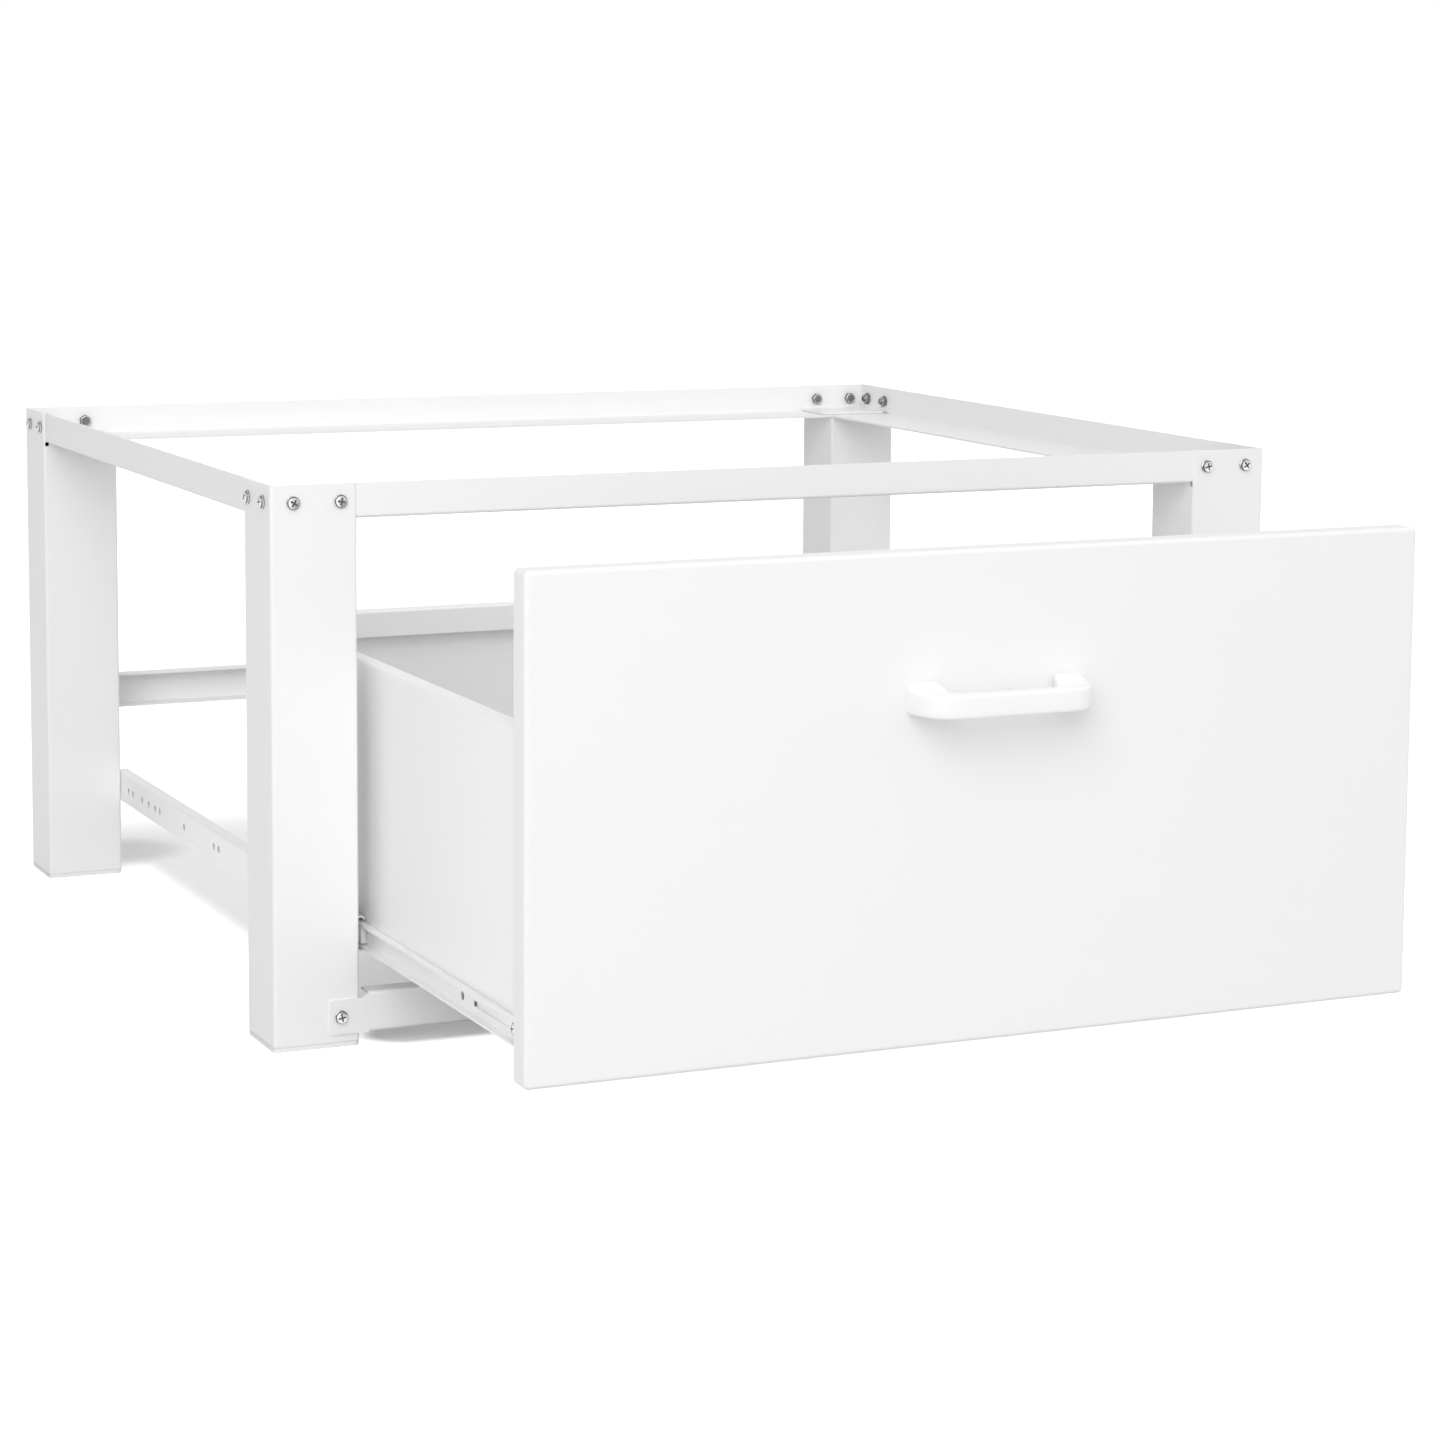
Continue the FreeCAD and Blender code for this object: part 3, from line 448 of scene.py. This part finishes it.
# ---------------------------------------------------------------- handle
class PEDESTAL_OT_handle(bpy.types.Operator):
    """Bow handle, drawn out section by section from the middle of its bar to its foot on the panel"""

    bl_idname = "pedestal.handle"
    bl_label = "Handle"

    HEIGHT = 0.0126
    # distances in mm: first section from the middle, and the bar's outer and inner face from the panel
    FIRST, OUTER, INNER = 10.0, 28.0, 18.0
    # outer and inner edge of each further section, across and out from the panel, and its top's rise
    SECTIONS = (((20.0, 28.0), (19.0, 18.0), 0.0), ((33.0, 28.0), (26.5, 18.0), 0.0),
                ((38.6, 27.2), (28.9, 17.4), 0.0), ((42.9, 25.0), (30.6, 16.0), 0.0),
                ((46.1, 21.8), (31.6, 14.0), 0.0), ((48.4, 17.6), (32.1, 11.6), 0.1),
                ((50.2, 12.4), (32.3, 8.6), 0.4), ((51.5, 7.4), (32.3, 5.2), 1.5),
                ((52.5, 3.0), (32.2, 2.2), 3.2), ((53.2, 0.1), (32.0, 0.1), 4.5))
    ROUNDING, ROUNDING_STEPS, SHARP = 0.0027, 4, 50

    def execute(self, context):
        low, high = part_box("handle")
        middle = low.z + self.HEIGHT / 2
        start = (self.FIRST / 2000, high.y - (self.OUTER + self.INNER) / 2000, middle)
        size = (self.FIRST / 1000, (self.OUTER - self.INNER) / 1000, self.HEIGHT)
        piece = begin("cube", "handle_bow", size=1, location=start)
        bpy.ops.transform.resize(value=size)
        pick(piece, "FACE", lambda face: face.normal.x < -0.9)
        bpy.ops.mesh.delete(type="FACE")
        pick(piece, "FACE", lambda face: face.normal.x > 0.9)
        outer, inner, top = Vector((self.FIRST, self.OUTER)), Vector((self.FIRST, self.INNER)), 0.0
        for next_outer, next_inner, rise in self.SECTIONS:
            extrude()
            self.shift(piece, lambda v, y: v.y < y, Vector(next_outer) - outer, 0.0)
            self.shift(piece, lambda v, y: v.y > y, Vector(next_inner) - inner, 0.0)
            self.shift(piece, lambda v, y: v.z > middle, Vector((0, 0)), rise - top)
            outer, inner, top = Vector(next_outer), Vector(next_inner), rise
        finish_form(piece, ("MIRROR", {"use_clip": True}),
                    rounding(self.ROUNDING, self.ROUNDING_STEPS, self.SHARP),
                    ("SUBSURF", {"levels": 1, "render_levels": 1}), smooth=60)
        dress(piece, "handle_plastic", "drawer", "handle_plastic", "handle")
        return {"FINISHED"}

    @staticmethod
    def shift(piece, test, step, lift):
        """Move the end face's vertices that pass the test, across, out from the panel and up, in mm."""
        mesh = bmesh.from_edit_mesh(piece.data)
        end = [v for v in mesh.verts if v.select]
        halfway = piece.matrix_world @ Vector((0, sum(v.co.y for v in end) / len(end), 0))
        marked = {v.index for v in end}
        chosen = {v.index for v in end if test(piece.matrix_world @ v.co, halfway.y)}
        pick(piece, "VERT", lambda v: v.index in chosen)
        bpy.ops.transform.translate(value=(step.x / 1000, -step.y / 1000, lift / 1000))
        pick(piece, "VERT", lambda v: v.index in marked)
        bpy.ops.mesh.select_mode(type="FACE")


# ---------------------------------------------------------------- screws
# all as shares of the head's height or radius, unless said otherwise
FLANGE = 0.26
# rise and narrowing of each ring of the head: round the flange, down a groove, and over the dome
HEAD_RINGS = ((0.10, 0.93), (-0.10, 0.92), (0.32, 0.985), (0.22, 0.93), (0.13, 0.80), (0.05, 0.60))
HEAD_SIDES = 28
THREAD_PITCH = 0.0009   # metres
THREAD_ROOT = 0.87      # share of the shank's radius
SHANK_POINT = 0.8       # share of the shank's radius
BLADE_LENGTH, BLADE_WIDTH, BLADE_DEPTH = 1.75, 0.30, 1.5
BLADE_TAPER = (0.40, 0.7, 1)
# faces that look out less squarely than this get the darker zinc of painted shade and dark reflection
LOOKS_OUT = 0.6         # how squarely a face looks out along +Z to be bright


def screw_form(name, head_radius, head_height, shank_radius, length):
    """Pan-head screw along +Z with its seat at 0: domed head, cross recess and a threaded shank."""
    height = head_height * FLANGE
    piece = begin("cylinder", name, vertices=HEAD_SIDES, radius=head_radius, depth=height,
                  location=(0, 0, height / 2))
    pick(piece, "FACE", lambda face: face.normal.z > 0.9)
    for rise, share in HEAD_RINGS:
        height += rise * head_height
        extrude((0, 0, rise * head_height))
        grow((share, share, 1), (0, 0, height))
    pick(piece, "FACE", lambda face: face.normal.z < -0.9)
    bpy.ops.mesh.inset(thickness=head_radius - shank_radius, depth=0)
    turns = max(2, round(length / THREAD_PITCH))
    pitch = length / turns
    for turn in range(turns):
        for share in (THREAD_ROOT, 1 / THREAD_ROOT):
            extrude((0, 0, -pitch / 2))
            grow((share, share, 1), (0, 0, 0))
    grow((SHANK_POINT, SHANK_POINT, 1), (0, 0, 0))
    leave_edit()
    # bright zinc on top; painted shade and dark reflection on the walls, grooves and thread
    paint_zinc_shade(piece)
    combine(piece, cross_cutter(head_radius, head_height), "DIFFERENCE", "TRANSFER")
    bpy.ops.object.shade_smooth_by_angle(angle=math.radians(35))
    return piece


def paint_zinc_shade(piece):
    """Bright zinc on what faces out along +Z, and a darker zinc on the walls, grooves and thread:
    painted shade and dark reflection.
    """
    for name in ("bright_zinc", "dull_zinc"):
        piece.data.materials.append(bpy.data.materials[name])
    for face in piece.data.polygons:
        face.material_index = 0 if face.normal.z > LOOKS_OUT else 1


def cross_cutter(head_radius, head_height):
    """The driver's tip that a cross recess fits: two tapered blades."""
    blades = []
    for turn in (0, math.pi / 2):
        blade = begin("cube", "driver_blade", size=1, location=(0, 0, head_height))
        bpy.ops.transform.resize(value=(head_radius * BLADE_LENGTH, head_radius * BLADE_WIDTH,
                                        head_height * BLADE_DEPTH))
        pick(blade, "FACE", lambda face: face.normal.z < -0.9)
        grow(BLADE_TAPER, (0, 0, head_height))
        leave_edit()
        blade.data.transform(Matrix.Rotation(turn, 4, "Z"))
        blade.data.materials.append(bpy.data.materials["recess_shade"])
        blades.append(blade)
    combine(blades[0], blades[1], "UNION", "INDEX")
    return blades[0]


def measure_screw(points):
    """Seat, direction out through the head, head radius, head height, shank radius and length."""
    low, high = extent(points)
    size, centre = high - low, (high + low) / 2
    axis = min(range(3), key=lambda i: abs(size[i - 1] - size[i - 2]))
    radius = size[axis - 1] / 2

    def off_axis(p):
        away = p - centre
        away[axis] = 0
        return away.length

    def from_ends(p):
        return min(abs(p[axis] - low[axis]), abs(p[axis] - high[axis]))

    head = [p[axis] for p in points if off_axis(p) > radius * 0.93]
    shank = [off_axis(p) for p in points
             if off_axis(p) < radius * 0.8 and from_ends(p) > size[axis] * 0.02]
    sign = 1 if sum(head) / len(head) > centre[axis] else -1
    seat = centre.copy()
    seat[axis] = min(head) if sign > 0 else max(head)
    head_height = abs((high[axis] if sign > 0 else low[axis]) - seat[axis])
    return seat, along_axis(axis, sign), radius, head_height, max(shank), size[axis] - head_height


class PEDESTAL_OT_screws(bpy.types.Operator):
    """Pan-head screws with cross recesses, in the place of every packed screw"""

    bl_idname = "pedestal.screws"
    bl_label = "Screws"

    FIRST_TURN, NEXT_TURN = 0.2, 0.4

    def execute(self, context):
        forms = {}

        def place_copy(points, count):
            seat, direction, *sizes = measure_screw(points)
            key = tuple(round(size, 5) for size in sizes)
            if key not in forms:
                forms[key] = screw_form("screw_form", *key)
            spin = self.FIRST_TURN + self.NEXT_TURN * count
            return copy_placed(forms[key], "screw", standing(seat, direction, spin))

        put_in_place("_screws", place_copy)
        for form in forms.values():
            throw_away(form)
        return {"FINISHED"}


# ---------------------------------------------------------------- nuts
BORE = 0.00205          # radius in metres
COUNTERSINK = 0.0005    # metres round the bore
COUNTERSINK_DEPTH = 0.22
NUT_WALL, NUT_CHAMFER = 0.82, 0.18
NUT_CROWN = 0.88        # share of the radius
FLAT_OF_HEXAGON = 0.866


def nut_form(name, radius, height, bore):
    """Hexagon nut along +Z with its seat at 0: chamfered corners and a countersink round the thread."""
    piece = begin("cylinder", name, vertices=6, radius=radius, depth=height * NUT_WALL,
                  location=(0, 0, height * NUT_WALL / 2))
    pick(piece, "FACE", lambda face: face.normal.z > 0.9)
    extrude((0, 0, height * NUT_CHAMFER))
    grow((NUT_CROWN, NUT_CROWN, 1), (0, 0, height))
    mouth = bore + COUNTERSINK
    for drop, share in ((0.0, mouth / (radius * NUT_CROWN * FLAT_OF_HEXAGON)),
                        (COUNTERSINK_DEPTH, bore / mouth)):
        extrude((0, 0, -drop * height))
        grow((share, share, 1), (0, 0, height))
    finish_form(piece, rounding(0.0002, 2, 25), smooth=35)
    # bright zinc on what looks out along +Z; painted shade and dark reflection on the other faces
    paint_zinc_shade(piece)
    return piece


class PEDESTAL_OT_nuts(bpy.types.Operator):
    """Hexagon nuts, in the place of every packed nut"""

    bl_idname = "pedestal.nuts"
    bl_label = "Nuts"

    FIRST_TURN, NEXT_TURN = 0.3, 1.3
    # the nuts look towards this point of the frame, along their own axis
    FRAME_MIDDLE = (0.0, 0.13, 0.0)

    def execute(self, context):
        forms = []

        def place_copy(points, count):
            low, high = extent(points)
            size, seat = high - low, (high + low) / 2
            axis = min(range(3), key=lambda i: size[i])
            inward = 1 if seat[axis] < self.FRAME_MIDDLE[axis] else -1
            seat[axis] -= inward * size[axis] / 2
            if not forms:
                forms.append(nut_form("nut_form", max(size) / 2, size[axis], BORE))
            spin = self.FIRST_TURN + self.NEXT_TURN * count
            return copy_placed(forms[0], "nut", standing(seat, along_axis(axis, inward), spin))

        put_in_place("_nuts", place_copy)
        throw_away(forms[0])
        return {"FINISHED"}


# ---------------------------------------------------------------- slide fittings
class PEDESTAL_OT_fittings(bpy.types.Operator):
    """Release lever of each slide, and dark blocks of painted shade: a strip behind the outer member's
    holes, and the slit and notch in the inner member's web
    """

    bl_idname = "pedestal.fittings"
    bl_label = "Slide fittings"

    SHEET = 0.0012
    # painted shade: a dark strip behind the holes of the outer member's web
    STRIP_GAP, STRIP = 0.0001, 0.0006      # from the outer member's web
    STRIP_FRONT, STRIP_REAR = 0.215, 0.012  # from the outer member's front and rear end
    STRIP_HEIGHT, STRIP_CORNER = 0.0122, 0.003
    LEVER_GAP, LEVER = 0.0001, 0.0034      # from the inner member's web
    LEVER_FRONT, LEVER_REAR = 0.2328, 0.2500
    LEVER_HEIGHT = 0.0098
    # length and narrowing of the lever's neck, grip and end
    LEVER_STEPS = ((0.006, 0.62), (0.012, 1.0), (0.003, 0.7))
    # painted shade: dark blocks in the slit and notch of the inner member's web
    INSERT_GAP, INSERT = 0.0002, 0.0010    # from the inner member's web
    INSERT_CORNER = 0.0004
    # name, distance from the inner member's front end, length and height
    INSERTS = (("slit", 0.0802, 0.0016, 0.0062), ("notch", 0.0630, 0.0009, 0.0026))

    def execute(self, context):
        low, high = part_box("slide_outer_left")
        inner_low, inner_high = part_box("slide_inner_left")
        height = (low.z + high.z) / 2
        outer_web = low.x + self.SHEET
        web = inner_high.x - self.SHEET
        front = inner_low.y
        for side, name in ((1, "left"), (-1, "right")):
            # dark strip of painted shade behind the outer member's holes
            strip = self.block("slide_lining_" + name, side,
                               (outer_web + self.STRIP_GAP, outer_web + self.STRIP),
                               (low.y + self.STRIP_FRONT, high.y - self.STRIP_REAR),
                               height, self.STRIP_HEIGHT)
            self.round_corners(strip, self.STRIP_CORNER, 4)
            dress(strip, "running_strip", "frame", "cage_steel")

            lever = self.block("slide_lever_" + name, side, (web - self.LEVER, web - self.LEVER_GAP),
                               (front + self.LEVER_FRONT, front + self.LEVER_REAR),
                               height, self.LEVER_HEIGHT)
            pick(lever, "FACE", lambda face: face.normal.y > 0.9)
            for step, share in self.LEVER_STEPS:
                extrude((0, step, 0))
                grow((1, 1, share), (0, 0, height))
            finish_form(lever, rounding(0.0005, 2, 30))
            dress(lever, "foot_plastic", "drawer", "handle_plastic")

            # dark blocks of painted shade in the inner member's slit and notch
            for part, start, size, tall in self.INSERTS:
                slot_shade = self.block("slide_%s_%s" % (part, name), side,
                                    (web + self.INSERT_GAP, web + self.INSERT),
                                    (front + start, front + start + size), height, tall)
                self.round_corners(slot_shade, self.INSERT_CORNER, 2)
                dress(slot_shade, "running_strip", "drawer", "cage_steel")
        return {"FINISHED"}

    @staticmethod
    def block(name, side, across, along, height, tall):
        """Block on the left (side 1) or mirrored to the right, in edit mode."""
        piece = begin("cube", name, size=1,
                      location=(side * sum(across) / 2, sum(along) / 2, height))
        bpy.ops.transform.resize(value=(across[1] - across[0], along[1] - along[0], tall))
        return piece

    @staticmethod
    def round_corners(piece, radius, segments):
        """Round the corners of a block that lies against a web, and finish it."""
        pick(piece, "EDGE", runs_across)
        bpy.ops.mesh.bevel(offset=radius, segments=segments, affect="EDGES")
        finish_form(piece)


# ---------------------------------------------------------------- stage
# share of the sky's light that comes from the right, the front and above
SKY_LEAN = (0.50, -0.32, 0.38)
# lamp, its power's setting, width and place in metres
LAMPS = (("key_lamp", "key", 3.2, (-2.1, -3.1, 2.7)), ("fill_lamp", "fill", 2.0, (-2.3, -2.6, 0.6)))
LAMPS_AIM = (0, 0, 0.15)
FLOOR_GREY = (0.6, 0.6, 0.6, 1.0)
WHITE = (1.0, 1.0, 1.0, 1.0)
# the floor's glow where it is bare and where it lies in painted shade
BARE, SHADED = 0.97, 0.36
# edges of the painted shade, outside and inside, in metres: between the legs, under the front bar,
# behind
SHADE_SIDES, SHADE_ALONG = (0.262, 0.232), ((-0.150, -0.136), (0.640, 0.440))
# deeper painted shade beside each rear leg and all along under the front bar: distance across up to
# which it stays the same, its middle, outer and inner radius, and the floor's glow in it
DEEPER = ((0.0, (0.243, 0.425, 0.0), 0.095, 0.020, 0.20),
          (0.235, (0.235, -0.125, 0.0), 0.030, 0.015, 0.25))
SHADES_BLEND = 0.2
FRAME_WIDTH, FARTHEST = 36.0, 50.0


class PEDESTAL_OT_stage(bpy.types.Operator):
    """Set up the floor, the light, the background and the camera"""

    bl_idname = "pedestal.stage"
    bl_label = "Stage"

    def execute(self, context):
        sizes = context.scene.pedestal_sizes
        scene = context.scene
        scene.view_settings.view_transform = "Standard"
        make_world(scene, sizes.sky)
        make_floor(sizes.floor)
        for name, power, width, place in LAMPS:
            make_lamp(name, getattr(sizes, power), width, place)
        make_camera(scene, sizes)
        return {"FINISHED"}


def seen_directly(tree):
    """1 for what is seen straight on, in gloss or through glass, and 0 for light on the object."""
    path = add_node(tree, "LightPath").outputs
    either = maths(tree, "MAXIMUM", path["Is Camera Ray"], path["Is Glossy Ray"])
    return maths(tree, "MAXIMUM", either, path["Is Transmission Ray"])


def make_world(scene, sky):
    """White behind the object; softer light on it, stronger from the right, the front and above."""
    world = bpy.data.worlds.new("studio")
    scene.world = world
    world.use_nodes = True
    tree = world.node_tree
    towards = add_node(tree, "VectorMath", {0: add_node(tree, "TexCoord").outputs["Generated"],
                                            1: [sky * part for part in SKY_LEAN]},
                       operation="DOT_PRODUCT")
    light = tree.nodes["Background"]
    light.inputs["Color"].default_value = WHITE
    tree.links.new(maths(tree, "ADD", towards.outputs["Value"], sky), light.inputs["Strength"])
    white = add_node(tree, "Background", {"Color": WHITE, "Strength": 1.0})
    mix = add_node(tree, "MixShader", {"Fac": seen_directly(tree), 1: light.outputs[0],
                                       2: white.outputs[0]})
    tree.links.new(mix.outputs[0], tree.nodes["World Output"].inputs["Surface"])


def soft_edge(tree, value, outside, inside, low=0.0, high=1.0):
    """Smooth change from one level outside an edge to another inside it."""
    return add_node(tree, "MapRange", {"Value": value, "From Min": outside, "From Max": inside,
                                       "To Min": low, "To Max": high},
                    interpolation_type="SMOOTHSTEP").outputs["Result"]


def floor_glow(tree):
    """The floor's glow with a painted shadow: less under the pedestal, least beside its rear legs and
    under its front bar.
    """
    place = add_node(tree, "SeparateXYZ", {0: add_node(tree, "TexCoord").outputs["Object"]})
    across, along = maths(tree, "ABSOLUTE", place.outputs["X"]), place.outputs["Y"]
    shade = soft_edge(tree, across, *SHADE_SIDES)
    for edge in SHADE_ALONG:
        shade = maths(tree, "MULTIPLY", shade, soft_edge(tree, along, *edge))
    glow = add_node(tree, "MapRange", {"Value": shade, "To Min": BARE, "To Max": SHADED})
    glow = glow.outputs["Result"]
    for same, middle, outside, inside, least in DEEPER:
        folded = add_node(tree, "CombineXYZ", {"X": maths(tree, "MAXIMUM", across, same), "Y": along})
        away = add_node(tree, "VectorMath", {0: folded.outputs[0], 1: middle}, operation="DISTANCE")
        near = soft_edge(tree, away.outputs["Value"], outside, inside, BARE, least)
        glow = maths(tree, "SMOOTH_MIN", glow, near, SHADES_BLEND)
    return glow


def make_floor(half):
    """Plain pale floor: white all round, with a soft shadow painted into its glow beneath the pedestal.
    """
    bpy.ops.object.select_all(action="DESELECT")
    bpy.ops.mesh.primitive_plane_add(size=2 * half, location=(0, 0, 0))
    floor = bpy.context.object
    floor.name = "studio_floor"
    material = bpy.data.materials.new("studio_floor")
    material.use_nodes = True
    tree = material.node_tree
    tree.nodes.remove(tree.nodes["Principled BSDF"])
    matt = add_node(tree, "BsdfDiffuse", {"Color": FLOOR_GREY})
    # painted shadow in the floor's glow, seen straight on only
    share = maths(tree, "MULTIPLY", floor_glow(tree), seen_directly(tree))
    glow = add_node(tree, "Emission", {"Strength": share})
    together = add_node(tree, "AddShader", {0: matt.outputs[0], 1: glow.outputs[0]})
    tree.links.new(together.outputs[0], tree.nodes["Material Output"].inputs["Surface"])
    floor.data.materials.append(material)


def make_lamp(name, power, width, place):
    """Large soft round lamp, aimed at the pedestal."""
    lamp = bpy.data.lights.new(name, "AREA")
    lamp.shape = "DISK"
    lamp.size = width
    lamp.energy = power
    holder = bpy.data.objects.new(name, lamp)
    bpy.context.scene.collection.objects.link(holder)
    holder.location = place
    aim = holder.location - Vector(LAMPS_AIM)
    holder.rotation_euler = aim.to_track_quat("Z", "Y").to_euler()


def make_camera(scene, sizes):
    """Camera at the viewing angle of the photograph."""
    lens = bpy.data.cameras.new("camera")
    lens.lens = sizes.lens
    lens.sensor_width = FRAME_WIDTH
    lens.shift_y = sizes.rise
    lens.clip_end = FARTHEST
    camera = bpy.data.objects.new("camera", lens)
    scene.collection.objects.link(camera)
    level = Euler((math.pi / 2 - sizes.pitch, 0, -sizes.yaw)).to_matrix()
    turn = level @ Matrix.Rotation(sizes.roll, 3, "Z")
    camera.matrix_world = Matrix.Translation(sizes.camera) @ turn.to_4x4()
    scene.camera = camera


# ---------------------------------------------------------------- panel and registration
STEPS = ("finishes", "handle", "screws", "nuts", "fittings", "stage")


class PEDESTAL_PT_panel(bpy.types.Panel):
    """Steps that dress the pedestal, in order."""

    bl_label = "Pedestal"
    bl_idname = "PEDESTAL_PT_panel"
    bl_space_type = "VIEW_3D"
    bl_region_type = "UI"
    bl_category = "Pedestal"

    def draw(self, context):
        for group in (context.scene.pedestal_colours, context.scene.pedestal_sizes):
            for name in group.__annotations__:
                self.layout.prop(group, name)
        for step in STEPS:
            self.layout.operator("pedestal." + step)


CLASSES = (PedestalColours, PedestalSizes, PEDESTAL_OT_finishes, PEDESTAL_OT_handle,
           PEDESTAL_OT_screws, PEDESTAL_OT_nuts, PEDESTAL_OT_fittings, PEDESTAL_OT_stage,
           PEDESTAL_PT_panel)


def register():
    for item in CLASSES:
        bpy.utils.register_class(item)
    bpy.types.Scene.pedestal_colours = PointerProperty(type=PedestalColours)
    bpy.types.Scene.pedestal_sizes = PointerProperty(type=PedestalSizes)


def unregister():
    del bpy.types.Scene.pedestal_sizes
    del bpy.types.Scene.pedestal_colours
    for item in reversed(CLASSES):
        bpy.utils.unregister_class(item)


def main():
    register()
    for step in STEPS:
        getattr(bpy.ops.pedestal, step)()


if __name__ == "__main__":
    main()
